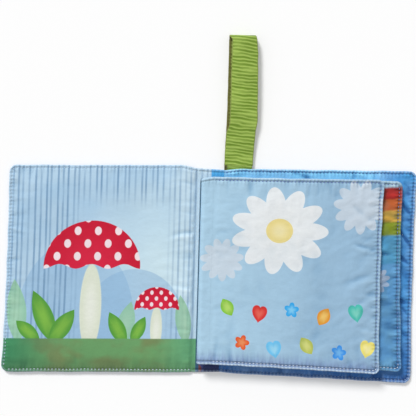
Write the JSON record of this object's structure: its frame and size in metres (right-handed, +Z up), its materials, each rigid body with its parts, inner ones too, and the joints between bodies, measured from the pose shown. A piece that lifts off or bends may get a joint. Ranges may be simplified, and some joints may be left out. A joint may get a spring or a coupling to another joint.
{
  "type": "crinkle cloth book",
  "caption": "Soft square cloth book with padded covers, crinkly padded leaves on a cloth spine and a ribbed hanging strap",
  "frame": {"origin": "middle of the spine's underside, on the plane that the open book rests on", "axes": "+X across the open book to the back cover's outer edge, +Y up the page to the edge with the strap, +Z up from the table"},
  "size_m": [0.3198, 0.2675, 0.0148],
  "materials": {
    "blue_cloth": "printed smooth polyester cloth, saturated blue, soft sheen",
    "striped_sky_cloth": "printed smooth polyester cloth, pale sky blue with fine darker stripes",
    "page_cloth": "printed smooth polyester cloth, pale sky blue",
    "banded_cloth": "printed smooth polyester cloth, bands of colour over blue",
    "aqua_cloth": "printed smooth polyester cloth, plain aqua blue",
    "green_ribbed_cloth": "wide-ribbed cotton cloth, leaf green, matt",
    "wadding": "white polyester wadding",
    "crinkle_film": "thin clear crinkle film"
  },
  "bodies": {
    "root": {"back_cover_outer_cloth": "blue_cloth", "back_cover_wadding": "wadding", "back_cover_inner_cloth": "blue_cloth", "spine_outer_cloth": "blue_cloth", "spine_lining": "striped_sky_cloth", "leaf_binding": "page_cloth", "strap_tail": "green_ribbed_cloth"},
    "front_cover": {"front_cover_outer_cloth": "blue_cloth", "front_cover_wadding": "wadding", "front_cover_inner_cloth": "striped_sky_cloth"},
    "leaf_2": {"leaf_2_front_cloth": "banded_cloth", "leaf_2_crinkle_film": "crinkle_film", "leaf_2_wadding": "wadding", "leaf_2_back_cloth": "aqua_cloth", "leaf_2_root": "banded_cloth"},
    "leaf_1": {"leaf_1_front_cloth": "page_cloth", "leaf_1_crinkle_film": "crinkle_film", "leaf_1_wadding": "wadding", "leaf_1_back_cloth": "aqua_cloth", "leaf_1_root": "page_cloth"},
    "strap": {"strap_loop": "green_ribbed_cloth"}
  },
  "joints": [
    {"name": "front_cover_turn", "type": "hinge", "parent": "root", "child": "front_cover", "pos_m": [0, 0, 0.0101], "axis": [0, 1, 0], "range_deg": [0, 180], "deforming": ["spine_outer_cloth", "spine_lining", "leaf_binding"]},
    {"name": "leaf_2_turn", "type": "hinge", "parent": "root", "child": "leaf_2", "pos_m": [0, 0, 0.0101], "axis": [0, -1, 0], "range_deg": [0, 180], "deforming": ["leaf_2_root"]},
    {"name": "leaf_1_turn", "type": "hinge", "parent": "leaf_2", "child": "leaf_1", "pos_m": [-0.0067, 0, 0.0101], "axis": [0, -1, 0], "range_deg": [0, 180], "deforming": ["leaf_1_root"]},
    {"name": "strap_swing", "type": "hinge", "parent": "root", "child": "strap", "pos_m": [0.02135, 0.08429, 0.0037], "axis": [1, 0, 0], "range_deg": [0, 90], "deforming": ["strap_tail"]}
  ]
}
